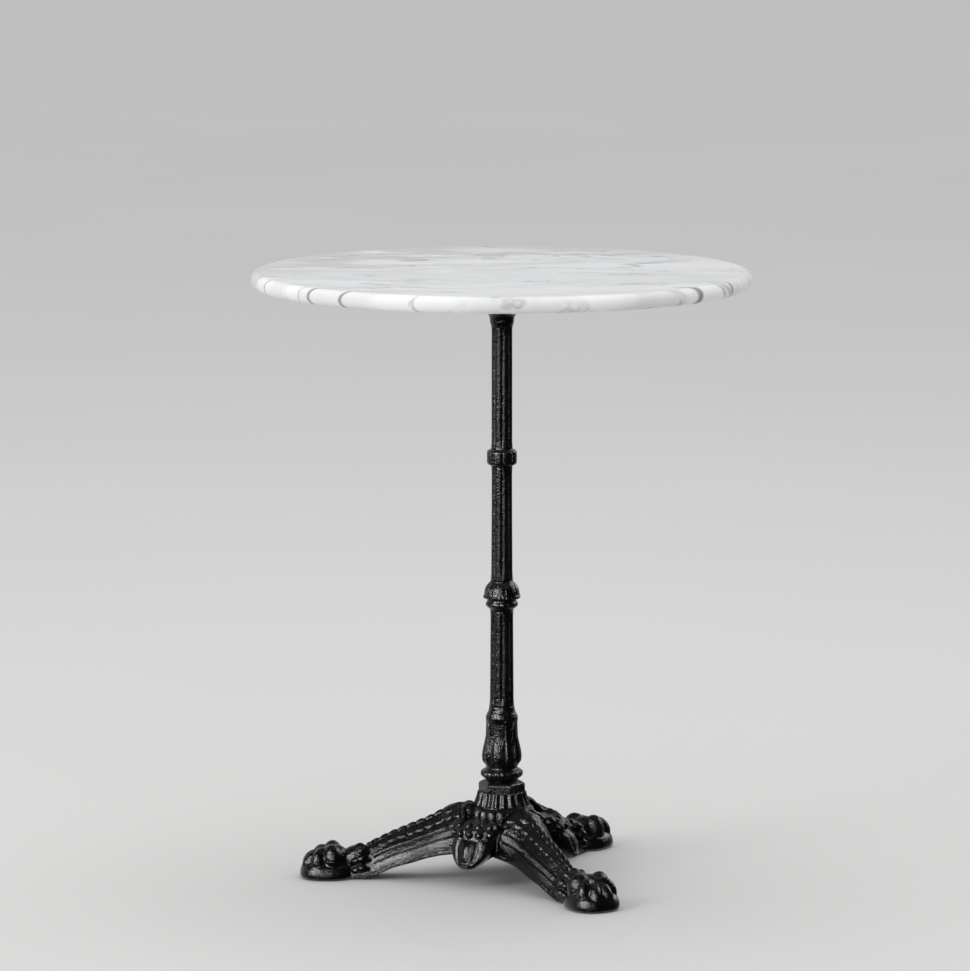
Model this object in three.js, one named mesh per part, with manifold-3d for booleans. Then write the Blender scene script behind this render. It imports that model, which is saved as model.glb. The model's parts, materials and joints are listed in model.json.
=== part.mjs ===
// A round bistro table: a marble slab on a cast-iron column with three lion-paw legs.
// Millimetres, +Z up. The origin is on the floor, under the column's axis.
import * as THREE from "three";
import { mergeVertices } from "three/addons/utils/BufferGeometryUtils.js";
import Module from "manifold-3d";

const wasm = await Module();
wasm.setup();

// ---------------------------------------------------------------- driving dimensions

// Overall
const tableHeight = 750;
const topDiameter = 610;
const topThickness = 20;
const baseReach = 248; // column axis to the toe tips

// Clearances
const fit = 0.3; // between pieces that rest on each other or screw together
const looseFit = 0.8; // round a bolt or rod that only passes through

// Column stack, from the hub upwards
const collarTop = 121.7; // seat of the vase on the hub
const vaseHeight = 92.3;
const lowerShaftHeight = 118;
const knopHeight = 38;
const ringBelowTop = 175; // top of the panelled ring, below the capital
const ringHeight = 19;
const capitalHeight = 23;
const shaftWall = 5.5; // iron round the bore, at the shaft's neck
const spigotWall = 3.4;
const spigotLength = 6;
const fluteCount = 8;
const fluteDepth = 1.4;

// Tie rod and its nuts
const rodRadius = 6;
const rodNutHeight = 10;
const rodWasherThickness = 2.5;
const rodSpare = 4; // thread that shows past a nut

// Spider under the slab
const spiderHeight = 24;
const spiderHubRadius = 24;
const spiderReach = 135; // axis to the screws
const armWidth = 20;
const armTipThickness = 6;
const armRootThickness = 16;

// Slab fixings
const screwRadius = 3;
const screwHeadRadius = 6;
const screwHeadHeight = 3.6;
const insertRadius = 5.5;
const insertLength = 13;

// Hub
const hexRadius = 28.35; // to the collar's corners
const hexBottom = 106;
const hexTop = 118;
const hexTwist = -7; // degrees, from the legs' directions
const hubFace = 44; // axis to the flat face that a leg is bolted to
const bellRadius = 40;
const hubSkirt = 36; // height of the hub's lower rim
const cavityRadius = 33;
const cavityTop = 78;
const webHeight = 12; // iron over the cavity, under the bell's groove
const pendantLength = 76;
const pendantWidth = 40;
const pendantDepth = 28;
const pendantTilt = 35; // degrees out from the vertical

// Legs
const legCount = 3;
const rootHalfWidth = 39;
const shinHalfWidth = 29;
const ankleHalfWidth = 20;
const crestHalfWidth = 3;
const pawLength = 66;
const pawWidth = 62;
const pawHeight = 43;
const soleHeight = 2; // paw above the floor, with the glide wound in
const cuffRadii = [15, 18, 17]; // scrolls between the shin and the paw
const toeCount = 4;
const toeRadii = [16, 8.5, 22];
const toeSpread = 108; // degrees, from the first toe to the last

// Leg bolts
const boltRadius = 5;
const boltHeadRadius = 8;
const boltHeadHeight = 6;
const boltWasherRadius = 9.5;
const boltWasherThickness = 2;
const boltReach = 26; // thread inside the leg
const boltHeight = 53;

// Levelling glides
const glideRadius = 12;
const glideHeight = 7;
const stemRadius = 4;
const stemLength = 26;
const stemFootRadius = 6.5;
const stemFootHeight = 3;
const glideFloor = 2.5; // pad under the stem's foot

// Facets round a casting and round a rod or hole
const castSides = 24;
const boltSides = 16;
const slabSides = 64;

// ---------------------------------------------------------------- sizes that follow

const topUnderside = tableHeight - topThickness;
const spiderTop = topUnderside - fit;
const columnTop = topUnderside - spiderHeight;
const vaseBottom = collarTop + fit;
const vaseTop = collarTop + vaseHeight;
const lowerTop = vaseTop + lowerShaftHeight;
const knopTop = lowerTop + knopHeight;
const rodNutFlats = 3 * rodRadius;
const rodWasherRadius = 2 * rodRadius;
const boreRadius = rodRadius + 2 * looseFit;
const shaftRadius = boreRadius + shaftWall;
const spigotRadius = boreRadius + spigotWall;
const socketRadius = spigotRadius + fit;
const socketDepth = spigotLength + fit;
const nutRecessDepth = rodNutHeight + rodWasherThickness + 5 * fit;
const bellTop = cavityTop + webHeight;
const wedgeRadius = hubFace / Math.cos(Math.PI / legCount); // to the hub's three corners
const legRoot = hubFace + fit;
const pawCentre = baseReach - pawLength / 2;
const ankle = pawCentre - pawLength / 2 - 12;
const recessTop = glideHeight + 4 * fit;
const legAngles = { left: 180, front: -60, rear: 60 };
const radians = THREE.MathUtils.degToRad;

// ---------------------------------------------------------------- materials

function finish(color, roughness, metalness) {
  return new THREE.MeshStandardMaterial({ color, roughness, metalness });
}
const marble = finish(0xebebe8, 0.12, 0);
const castIron = finish(0x141414, 0.42, 0.3);
const steel = finish(0x9a9a98, 0.38, 0.9);
const brass = finish(0xb08d4a, 0.35, 0.9);
const nylon = finish(0x1c1c1c, 0.6, 0);

// ---------------------------------------------------------------- solids

// A geometry as a manifold-3d solid that faces out.
function solid(geometry) {
  const bare = geometry.index ? geometry.toNonIndexed() : geometry.clone();
  bare.deleteAttribute("normal");
  bare.deleteAttribute("uv");
  const merged = mergeVertices(bare, 1e-3);
  const corners = merged.index.array;
  const faces = [];
  for (let i = 0; i < corners.length; i += 3) {
    const face = [...corners.slice(i, i + 3)];
    if (new Set(face).size === 3) faces.push(face);
  }
  const make = (list) =>
    new wasm.Manifold(
      new wasm.Mesh({
        numProp: 3,
        vertProperties: merged.attributes.position.array,
        triVerts: new Uint32Array(list.flat()),
      }),
    );
  const body = make(faces);
  return body.volume() > 0 ? body : make(faces.map(([a, b, c]) => [a, c, b]));
}

// Turns an outline round Z. A point is [radius, height, flute depth], and the depth may be left out.
function turned(points, segments = castSides) {
  const outline = points.map(([r, z]) => new THREE.Vector2(r, z));
  const geometry = new THREE.LatheGeometry(outline, segments);
  const place = geometry.attributes.position;
  for (let i = 0; i < place.count; i += 1) {
    const depth = points[i % points.length][2] ?? 0;
    const x = place.getX(i);
    const z = place.getZ(i);
    const groove = (1 + Math.cos(fluteCount * Math.atan2(x, z))) / 2;
    const scale = depth ? 1 - (depth * groove) / Math.hypot(x, z) : 1;
    place.setX(i, x * scale);
    place.setZ(i, z * scale);
  }
  return solid(geometry.rotateX(Math.PI / 2));
}

// A turned piece with a straight bore: the outline is its outside, from bottom to top.
function sleeve(outline, bore, segments = castSides) {
  const low = outline[0][1];
  const high = outline[outline.length - 1][1];
  return turned([[bore, low], ...outline, [bore, high], [bore, low]], segments);
}

function rod(radius, low, high, sides = boltSides) {
  const geometry = new THREE.CylinderGeometry(radius, radius, high - low, sides);
  return solid(geometry.rotateX(Math.PI / 2).translate(0, 0, (low + high) / 2));
}

// A rod along +X.
function crossRod(radius, near, far, height, sides = boltSides) {
  const geometry = new THREE.CylinderGeometry(radius, radius, far - near, sides);
  return solid(geometry.rotateZ(Math.PI / 2).translate((near + far) / 2, 0, height));
}

function hexPrism(cornerRadius, low, high, topRadius = cornerRadius, twist = 0) {
  const geometry = new THREE.CylinderGeometry(topRadius, cornerRadius, high - low, 6);
  geometry.rotateX(Math.PI / 2).rotateZ(Math.PI / 6 + radians(twist));
  return solid(geometry.translate(0, 0, (low + high) / 2));
}

// Pushes an outline drawn in X and Z along Y, centred on Y = 0.
function sidePlate(points, width) {
  const shape = new THREE.Shape(points.map(([x, z]) => new THREE.Vector2(x, z)));
  const geometry = new THREE.ExtrudeGeometry(shape, { depth: width, bevelEnabled: false });
  return solid(geometry.translate(0, 0, -width / 2).rotateX(Math.PI / 2));
}

function lobe(centre, radii, tilt = 0, sides = 12) {
  const geometry = new THREE.SphereGeometry(1, sides, sides / 2);
  geometry.rotateX(Math.PI / 2).scale(...radii).rotateY(radians(tilt));
  return solid(geometry.translate(...centre));
}

function moved(body, x, y, z) {
  return body.translate([x, y, z]);
}

function spun(body, degrees) {
  return body.rotate([0, 0, degrees]);
}

function piece(name, body, material) {
  const { vertProperties, triVerts } = body.getMesh();
  const geometry = new THREE.BufferGeometry();
  geometry.setAttribute("position", new THREE.BufferAttribute(vertProperties, 3));
  geometry.setIndex(new THREE.BufferAttribute(triVerts, 1));
  geometry.computeVertexNormals();
  const mesh = new THREE.Mesh(geometry, material);
  mesh.name = name;
  return mesh;
}

const table = new THREE.Group();

// ---------------------------------------------------------------- slab, inserts and screws

function slab() {
  const edge = topThickness / 2;
  const rim = topDiameter / 2 - edge;
  const outline = [[0, topUnderside]];
  const steps = 6;
  for (let i = 0; i <= steps; i += 1) {
    const angle = radians(-90 + (180 * i) / steps);
    outline.push([rim + edge * Math.cos(angle), topUnderside + edge + edge * Math.sin(angle)]);
  }
  outline.push([0, tableHeight]);
  let body = turned(outline, slabSides);
  for (let i = 0; i < 4; i += 1) {
    const hole = rod(insertRadius + fit, topUnderside - 1, topUnderside + insertLength + fit);
    body = body.subtract(spun(moved(hole, spiderReach, 0, 0), 90 * i));
  }
  return body;
}
table.add(piece("marble_top", slab(), marble));

const armBottom = spiderTop - armTipThickness;
const screwTop = topUnderside + insertLength - 2;
for (let i = 0; i < 4; i += 1) {
  const corner = new THREE.Group();
  corner.rotation.z = radians(90 * i);
  const place = new THREE.Group();
  place.position.x = spiderReach;
  const insert = rod(insertRadius, topUnderside, topUnderside + insertLength);
  const thread = rod(screwRadius + fit, topUnderside - 1, topUnderside + insertLength + 1);
  const head = rod(screwHeadRadius, armBottom - fit - screwHeadHeight, armBottom - fit);
  const shank = rod(screwRadius, armBottom - fit - 1, screwTop);
  place.add(piece(`top_insert_${i + 1}`, insert.subtract(thread), brass));
  place.add(piece(`top_screw_${i + 1}`, head.add(shank), steel));
  corner.add(place);
  table.add(corner);
}

// ---------------------------------------------------------------- spider

function spider() {
  const bottom = columnTop + fit;
  let body = rod(spiderHubRadius, bottom, spiderTop, castSides);
  const arm = [
    [0, spiderTop],
    [spiderReach, spiderTop],
    [spiderReach, armBottom],
    [spiderReach - armWidth / 2, armBottom],
    [spiderHubRadius, spiderTop - armRootThickness],
    [0, spiderTop - armRootThickness],
  ];
  const tip = moved(rod(armWidth / 2 + 2, armBottom, spiderTop), spiderReach, 0, 0);
  const screwHole = rod(screwRadius + looseFit, armBottom - 1, spiderTop + 1);
  const limb = sidePlate(arm, armWidth).add(tip).subtract(moved(screwHole, spiderReach, 0, 0));
  for (let i = 0; i < 4; i += 1) body = body.add(spun(limb, 90 * i));
  const spigot = rod(spigotRadius, columnTop - spigotLength, bottom + 1);
  const hole = rod(rodRadius + looseFit, columnTop - spigotLength - 1, spiderTop + 1);
  const recess = rod(rodWasherRadius + looseFit, spiderTop - nutRecessDepth, spiderTop + 1);
  return body.add(spigot).subtract(hole).subtract(recess);
}
table.add(piece("mounting_spider", spider(), castIron));

// ---------------------------------------------------------------- column castings

// Adds the spigot under a casting and cuts the socket in its top.
function jointed(body, bottom, top) {
  const spigot = sleeve(
    [
      [spigotRadius, bottom - spigotLength],
      [spigotRadius, bottom + 1],
    ],
    boreRadius,
  );
  return body.add(spigot).subtract(rod(socketRadius, top - socketDepth, top + 1, castSides));
}

// Outside of a casting: each point is [swell over the shaft, height over the foot, flute depth].
function swelling(low, points) {
  return points.map(([swell, rise, depth]) => [shaftRadius + swell, low + rise, depth]);
}

function upperColumn() {
  const low = knopTop + fit;
  const ringTop = columnTop - ringBelowTop - low;
  const ringFoot = ringTop - ringHeight;
  const capital = columnTop - capitalHeight - low;
  const outline = swelling(low, [
    [0.5, 0],
    [0.5, 4, fluteDepth],
    [0, ringFoot - 8, fluteDepth],
    [-0.4, ringFoot],
    [4.4, ringFoot + 1.5],
    [5, ringFoot + ringHeight / 2],
    [4.4, ringTop - 2],
    [0, ringTop],
    [0, ringTop + 6, fluteDepth],
    [0, capital - 4, fluteDepth],
    [0.1, capital],
    [1.5, capital + 3],
    [2.3, capital + 10],
    [6, capital + 15],
    [spiderHubRadius - shaftRadius, capital + 19],
    [spiderHubRadius - shaftRadius, columnTop - low],
  ]);
  return jointed(sleeve(outline, boreRadius), low, columnTop);
}

function columnKnop() {
  const low = lowerTop + fit;
  const outline = swelling(low, [
    [1.2, 0],
    [1.9, 2.5],
    [5.2, 5.3],
    [6.7, 8],
    [5.7, 11.7],
    [4.6, 13.3],
    [7.2, 15.2],
    [9.1, 17.5],
    [8.7, 22],
    [8, 28],
    [6.6, 30],
    [4.4, 32.7],
    [1.1, 36],
    [0.5, knopTop - low],
  ]);
  return jointed(sleeve(outline, boreRadius), low, knopTop);
}

function lowerColumn() {
  const low = vaseTop + fit;
  const outline = swelling(low, [
    [2.1, 0],
    [2, 4, fluteDepth],
    [1.2, lowerShaftHeight - 8, fluteDepth],
    [1.2, lowerTop - low],
  ]);
  return jointed(sleeve(outline, boreRadius), low, lowerTop);
}

function columnVase() {
  const outline = swelling(vaseBottom, [
    [6.7, 0],
    [8.5, 3],
    [12.2, 5],
    [12.7, 9],
    [11.9, 11.6],
    [8.7, 14],
    [6.5, 16],
    [9, 20],
    [10.5, 24],
    [10.8, 29],
    [10.2, 37],
    [8.4, 48],
    [6.5, 55],
    [6.2, 74],
    [6.3, 79],
    [5, 82.6],
    [2.2, 89],
    [2.1, vaseTop - vaseBottom],
  ]);
  return jointed(sleeve(outline, boreRadius), vaseBottom, vaseTop);
}

table.add(piece("upper_column", upperColumn(), castIron));
table.add(piece("column_knop", columnKnop(), castIron));
table.add(piece("lower_column", lowerColumn(), castIron));
table.add(piece("column_vase", columnVase(), castIron));

// ---------------------------------------------------------------- tie rod, nuts and washers

const topSeat = spiderTop - nutRecessDepth + fit; // under the upper washer
const bottomSeat = cavityTop - fit; // over the lower washer
const bottomNutLow = bottomSeat - rodWasherThickness - fit - rodNutHeight;

function nut(low) {
  const corner = rodNutFlats / 2 / Math.cos(Math.PI / 6);
  const body = hexPrism(corner, low, low + rodNutHeight);
  return body.subtract(rod(rodRadius + fit, low - 1, low + rodNutHeight + 1));
}

function washer(low, radius, thickness, hole) {
  return rod(radius, low, low + thickness).subtract(rod(hole, low - 1, low + thickness + 1));
}

const rodHole = rodRadius + fit;
const rodLow = bottomNutLow - rodSpare;
const topNutLow = topSeat + rodWasherThickness + fit;
table.add(piece("tie_rod", rod(rodRadius, rodLow, spiderTop - fit), steel));
table.add(piece("tie_rod_top_nut", nut(topNutLow), steel));
table.add(
  piece("tie_rod_top_washer", washer(topSeat, rodWasherRadius, rodWasherThickness, rodHole), steel),
);
table.add(piece("tie_rod_bottom_nut", nut(bottomNutLow), steel));
table.add(
  piece(
    "tie_rod_bottom_washer",
    washer(bottomSeat - rodWasherThickness, rodWasherRadius, rodWasherThickness, rodHole),
    steel,
  ),
);

// ---------------------------------------------------------------- hub

function pendant() {
  const tilt = radians(pendantTilt);
  const apex = [hubFace + 6, bellTop - 2];
  const half = pendantLength / 2;
  const centre = [apex[0] + half * Math.sin(tilt), 0, apex[1] - half * Math.cos(tilt)];
  return lobe(centre, [pendantDepth / 2, pendantWidth / 2, half], -pendantTilt, 16);
}

function baseHub() {
  const bell = turned([
    [0, cavityTop - 6],
    [bellRadius, cavityTop - 6],
    [bellRadius, cavityTop + 4],
    [bellRadius - 4, bellTop - 2],
    [bellRadius - 8, bellTop],
    [hexRadius + 0.7, hexBottom - 8],
    [hexRadius - 1, hexBottom],
    [0, hexBottom],
  ]);
  const dome = turned([
    [0, hubSkirt],
    [wedgeRadius, hubSkirt],
    [wedgeRadius - 4, hubSkirt + 14],
    [wedgeRadius - 16, cavityTop - 8],
    [hubFace + 12, cavityTop + 8],
    [bellRadius - 4, bellTop],
    [0, bellTop],
  ]);
  const wedge = new THREE.CylinderGeometry(wedgeRadius, wedgeRadius, bellTop, legCount);
  wedge.rotateX(Math.PI / 2).rotateZ(-Math.PI / 6).translate(0, 0, bellTop / 2 + 1);
  let body = solid(wedge).intersect(dome).add(bell);
  body = body.add(hexPrism(hexRadius, hexBottom - 2, hexTop, hexRadius, hexTwist));
  body = body.add(hexPrism(hexRadius, hexTop, collarTop, shaftRadius + 9, hexTwist));
  for (const angle of Object.values(legAngles)) body = body.add(spun(pendant(), angle + 180));
  body = body.subtract(rod(cavityRadius, 0, cavityTop, castSides));
  body = body.subtract(rod(boreRadius, cavityTop - 1, collarTop + 1));
  body = body.subtract(rod(socketRadius, collarTop - socketDepth, collarTop + 1, castSides));
  const seat = crossRod(boltWasherRadius + fit, 0, cavityRadius + 1, boltHeight);
  const hole = crossRod(boltRadius + looseFit, 0, hubFace + 2, boltHeight);
  for (const angle of Object.values(legAngles)) body = body.subtract(spun(seat.add(hole), angle));
  return body;
}
table.add(piece("base_hub", baseHub(), castIron));

// ---------------------------------------------------------------- legs, bolts and glides

// A cross-section of the leg: splayed sides that curve in to a narrow crest.
function legSection(x, low, high, halfWidth) {
  return [0, 0.35, 0.55, 0.75, 1].flatMap((share) => {
    const y = Math.max(crestHalfWidth, halfWidth * (1 - share ** 2.2));
    const z = low + share * (high - low);
    return [
      [x, -y, z],
      [x, y, z],
    ];
  });
}

// The leg runs along +X from its root on the hub to the toes.
function leg() {
  const along = (share) => legRoot + share * (ankle - legRoot);
  const sections = [
    legSection(legRoot, hubSkirt + 1, 92, rootHalfWidth),
    legSection(along(0.13), hubSkirt - 1, 90.5, rootHalfWidth - 2.5),
    legSection(along(0.25), hubSkirt - 2.5, 82, rootHalfWidth - 6.5),
    legSection(along(0.37), 30, 74, shinHalfWidth + 1),
    legSection(along(0.54), 23.5, 64.5, shinHalfWidth),
    legSection(along(0.7), 17, 56.5, shinHalfWidth - 3),
    legSection(along(0.83), 9.5, 48.5, shinHalfWidth - 6.5),
    legSection(along(0.95), soleHeight, 41.5, ankleHalfWidth),
    legSection(ankle + 14, soleHeight, 34, ankleHalfWidth),
  ];
  let body = wasm.Manifold.hull([...sections[0], ...sections[1]]);
  for (let i = 1; i < sections.length - 1; i += 1) {
    body = body.add(wasm.Manifold.hull([...sections[i], ...sections[i + 1]]));
  }

  const cuff = lobe([ankle + 4, 0, cuffRadii[2] + 9], cuffRadii);
  const pad = lobe([pawCentre, 0, 4], [pawLength / 2, pawWidth / 2, pawHeight - 8], 0, 16);
  body = body.add(cuff).add(pad);
  const toeReach = pawLength / 2 - toeRadii[0];
  for (let i = 0; i < toeCount; i += 1) {
    const turn = toeSpread * (i / (toeCount - 1) - 0.5);
    const toe = lobe([toeReach, 0, toeRadii[2] - 4], toeRadii, 0, 10);
    body = body.add(moved(spun(toe, turn), pawCentre, 0, 0));
  }
  const above = new THREE.BoxGeometry(3 * baseReach, 3 * pawWidth, 200);
  body = body.intersect(solid(above.translate(0, 0, 100 + soleHeight)));

  const recess = rod(glideRadius + 1, 0, recessTop);
  const stemHole = rod(stemRadius + looseFit, 0, glideFloor + stemLength + 2);
  body = body.subtract(moved(recess.add(stemHole), pawCentre, 0, 0));
  return body.subtract(crossRod(boltRadius + looseFit, 0, hubFace + boltReach + 2, boltHeight));
}

function legBolt() {
  const seat = cavityRadius + 1 - fit - boltWasherThickness - fit;
  const head = crossRod(boltHeadRadius, seat - boltHeadHeight, seat, boltHeight, 6);
  return head.add(crossRod(boltRadius, seat - 1, hubFace + boltReach, boltHeight));
}

function legWasher() {
  const far = cavityRadius + 1 - fit;
  const near = far - boltWasherThickness;
  const hole = crossRod(boltRadius + fit, near - 1, far + 1, boltHeight);
  return crossRod(boltWasherRadius, near, far, boltHeight).subtract(hole);
}

// The pad holds the stem's foot in a slot with a narrower mouth.
function glidePad() {
  const slot = stemFootRadius + fit;
  const slotTop = glideFloor + stemFootHeight + 2 * fit;
  const mouth = stemRadius + 2 * fit;
  return turned(
    [
      [0, 0],
      [glideRadius - 1, 0],
      [glideRadius, 1],
      [glideRadius, glideHeight - 2],
      [glideRadius - 3, glideHeight],
      [mouth, glideHeight],
      [mouth, slotTop],
      [slot, slotTop],
      [slot, glideFloor],
      [0, glideFloor],
    ],
    24,
  );
}

function glideStem() {
  const low = glideFloor + fit;
  const foot = rod(stemFootRadius, low, low + stemFootHeight);
  return foot.add(rod(stemRadius, low, glideFloor + stemLength));
}

for (const [name, angle] of Object.entries(legAngles)) {
  const side = new THREE.Group();
  side.rotation.z = radians(angle);
  const foot = new THREE.Group();
  foot.position.x = pawCentre;
  foot.add(piece(`glide_pad_${name}`, glidePad(), nylon));
  foot.add(piece(`glide_stem_${name}`, glideStem(), steel));
  side.add(piece(`leg_${name}`, leg(), castIron));
  side.add(piece(`leg_bolt_${name}`, legBolt(), steel));
  side.add(piece(`leg_washer_${name}`, legWasher(), steel));
  side.add(foot);
  table.add(side);
}

export default table;
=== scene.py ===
"""A marble and cast-iron bistro table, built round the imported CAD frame.

Shapes are worked out in millimetres in the frame's own axes and turned into metres when a mesh is made.
"""

import json
import math

import bpy
import numpy as np
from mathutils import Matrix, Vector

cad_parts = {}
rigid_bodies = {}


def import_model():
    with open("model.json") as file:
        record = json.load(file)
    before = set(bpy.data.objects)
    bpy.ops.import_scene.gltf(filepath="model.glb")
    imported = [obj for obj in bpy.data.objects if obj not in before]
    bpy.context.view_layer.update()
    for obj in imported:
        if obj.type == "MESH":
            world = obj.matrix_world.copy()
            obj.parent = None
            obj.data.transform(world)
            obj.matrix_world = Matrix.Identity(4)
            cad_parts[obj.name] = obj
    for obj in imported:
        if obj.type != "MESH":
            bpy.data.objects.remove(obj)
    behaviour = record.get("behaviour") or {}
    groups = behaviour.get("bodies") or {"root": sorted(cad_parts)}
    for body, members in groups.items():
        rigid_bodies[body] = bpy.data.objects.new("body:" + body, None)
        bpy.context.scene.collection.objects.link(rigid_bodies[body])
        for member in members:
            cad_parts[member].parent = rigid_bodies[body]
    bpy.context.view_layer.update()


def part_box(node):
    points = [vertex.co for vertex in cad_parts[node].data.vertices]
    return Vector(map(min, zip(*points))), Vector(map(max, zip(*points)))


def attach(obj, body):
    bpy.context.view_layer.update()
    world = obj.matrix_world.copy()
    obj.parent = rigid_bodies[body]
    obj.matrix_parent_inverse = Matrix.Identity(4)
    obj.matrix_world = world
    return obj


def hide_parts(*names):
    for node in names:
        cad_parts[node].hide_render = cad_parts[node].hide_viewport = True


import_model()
MM = 0.001


# ---------------------------------------------------------------- the frame's sizes, in millimetres


def low_of(node):
    return np.array(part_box(node)[0]) / MM


def high_of(node):
    return np.array(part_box(node)[1]) / MM


def middle_of(node):
    return (low_of(node) + high_of(node)) / 2


SLAB_LOW = low_of("marble_top")[2]
SLAB_HIGH = high_of("marble_top")[2]
SLAB_RADIUS = high_of("marble_top")[0]
COLUMN_TOP = high_of("upper_column")[2]
KNOP_TOP = high_of("column_knop")[2]
LOWER_TOP = high_of("lower_column")[2]
VASE_TOP = high_of("column_vase")[2]
COLLAR_TOP = high_of("base_hub")[2]
SOLE = low_of("leg_left")[2]
SIDES = ("left", "front", "rear")
FOOT = {side: middle_of("glide_pad_" + side) for side in SIDES}
ANGLE = {side: math.atan2(FOOT[side][1], FOOT[side][0]) for side in SIDES}
PAW = float(np.hypot(*FOOT["left"][:2]))  # from the table's axis to a glide's


# ---------------------------------------------------------------- small shape tools


def smoothstep(x):
    x = np.clip(x, 0, 1)
    return x * x * (3 - 2 * x)


def band(x, low, high, soft):
    """1 between low and high, falling to 0 over soft at each end."""
    return smoothstep((x - low) / soft) * smoothstep((high - x) / soft)


def through(points):
    """A smooth function through (x, y) points, with no overshoot."""
    x, y = np.array(points, float).T
    slope = np.diff(y) / np.diff(x)
    before, after = slope[:-1], slope[1:]
    total = np.where(before * after > 0, before + after, 1)
    inner = np.where(before * after > 0, 2 * before * after / total, 0)
    m = np.concatenate([slope[:1], inner, slope[-1:]])

    def value(at):
        at = np.clip(at, x[0], x[-1])
        i = np.clip(np.searchsorted(x, at) - 1, 0, len(x) - 2)
        h = x[i + 1] - x[i]
        t = (at - x[i]) / h
        start = (1 + 2 * t) * (1 - t) ** 2 * y[i] + t * (1 - t) ** 2 * h * m[i]
        end = t * t * (3 - 2 * t) * y[i + 1] + t * t * (t - 1) * h * m[i + 1]
        return start + end

    return value


def skin(rows):
    """A closed mesh over rows of points. A fan of triangles closes each end."""
    n, m = rows.shape[:2]
    index = np.arange(n * m).reshape(n, m)
    low, high = index[:-1], index[1:]
    quads = np.stack([low, np.roll(low, -1, 1), np.roll(high, -1, 1), high], -1).reshape(-1, 4)
    points = np.vstack([rows.reshape(-1, 3), rows[0].mean(0), rows[-1].mean(0)])
    first, last = n * m, n * m + 1
    faces = quads.tolist()
    for a in range(m):
        b = (a + 1) % m
        faces.append([first, b, a])
        faces.append([last, int(index[-1, a]), int(index[-1, b])])
    return points, faces


def path_of(points, step=0.5, rounds=4):
    """A polyline at even steps with its corners rounded."""
    p = np.array(points, float)
    length = np.concatenate([[0], np.cumsum(np.hypot(*np.diff(p, axis=0).T))])
    at = np.linspace(0, length[-1], max(int(length[-1] / step), 2) + 1)
    path = np.column_stack([np.interp(at, length, p[:, k]) for k in (0, 1)])
    for _ in range(rounds):
        path[1:-1] = (path[:-2] + 2 * path[1:-1] + path[2:]) / 4
    return path


def thinned(path, fine):
    """Leaves out rows on straight stretches, outside the fine height ranges."""
    least_bend, longest = 0.004, 8.0
    keep = [0]
    for i in range(1, len(path) - 1):
        bend = np.abs(path[i - 1] - 2 * path[i] + path[i + 1]).max()
        detail = any(a <= path[i][1] <= b for a, b in fine)
        far = np.hypot(*(path[i] - path[keep[-1]])) > longest
        if detail or far or bend > least_bend:
            keep.append(i)
    return path[keep + [len(path) - 1]]


def turned(points, relief=None, core=0, fine=(), around=192, step=0.5, rounds=4):
    """An outline of (radius, height) turned round Z.

    relief(angle, radius, height) adds to the radius wherever it is over core.
    """
    path = thinned(path_of(points, step, rounds), fine)
    angle = np.linspace(0, 2 * math.pi, around, endpoint=False)[None, :]
    r = path[:, :1] + 0 * angle
    z = path[:, 1:] + 0 * angle
    if relief:
        r = r + np.where(r > core, relief(angle, r, z), 0)
    return skin(np.stack([r * np.cos(angle), r * np.sin(angle), z], -1))


def ball(centre, radii, tilt=0.0, turn=0.0, sides=28):
    """An ellipsoid, tilted about its own Y and then turned about Z through its centre, in degrees."""
    v = np.linspace(0, math.pi, sides // 2 + 1)[1:-1, None]
    u = np.linspace(0, 2 * math.pi, sides, endpoint=False)[None, :]
    rows = np.stack([np.sin(v) * np.cos(u), np.sin(v) * np.sin(u), -np.cos(v) + 0 * u], -1)
    points, faces = skin(rows)
    points[-2:] = (0, 0, -1), (0, 0, 1)
    points = points * radii
    a, b = math.radians(tilt), math.radians(turn)
    about_y = np.array([[math.cos(a), 0, math.sin(a)], [0, 1, 0], [-math.sin(a), 0, math.cos(a)]])
    return spun((points @ about_y.T, faces), b, centre)


def spun(part, angle, shift=(0, 0, 0)):
    """A part turned about Z by an angle in radians, and then shifted."""
    c, s = math.cos(angle), math.sin(angle)
    return part[0] @ np.array([[c, s, 0], [-s, c, 0], [0, 0, 1]]) + shift, part[1]


def joined(parts):
    points, faces, start = [], [], 0
    for p, f in parts:
        points.append(p)
        faces += [[i + start for i in face] for face in f]
        start += len(p)
    return np.vstack(points), faces


def add_piece(name, part, node, material, sharp=35):
    """Makes the mesh object that stands for a CAD node of the table's body."""
    points, faces = joined(part) if isinstance(part, list) else part
    obj = mesh_object(name, points, faces)
    obj.data.polygons.foreach_set("use_smooth", [True] * len(obj.data.polygons))
    obj.data.set_sharp_from_angle(angle=math.radians(sharp))
    obj.data.materials.append(material)
    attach(obj, "table")
    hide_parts(node)


def mesh_object(name, points, faces):
    mesh = bpy.data.meshes.new(name)
    mesh.from_pydata((np.asarray(points) * MM).tolist(), [], faces)
    obj = bpy.data.objects.new(name, mesh)
    bpy.context.scene.collection.objects.link(obj)
    return obj


def fused(parts, voxel):
    """Overlapping parts melted into one skin, as one casting is, and softened a little."""
    obj = mesh_object("fusing", *joined(parts))
    remesh = obj.modifiers.new("fuse", "REMESH")
    remesh.mode = "VOXEL"
    remesh.voxel_size = voxel * MM
    soften = obj.modifiers.new("soften", "SMOOTH")
    soften.factor = 0.5
    soften.iterations = 2
    evaluated = obj.evaluated_get(bpy.context.evaluated_depsgraph_get())
    mesh = bpy.data.meshes.new_from_object(evaluated)
    points = np.empty(len(mesh.vertices) * 3)
    mesh.vertices.foreach_get("co", points)
    faces = [list(p.vertices) for p in mesh.polygons]
    bpy.data.objects.remove(obj)
    bpy.data.meshes.remove(mesh)
    return points.reshape(-1, 3) / MM, faces


# ---------------------------------------------------------------- materials


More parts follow.
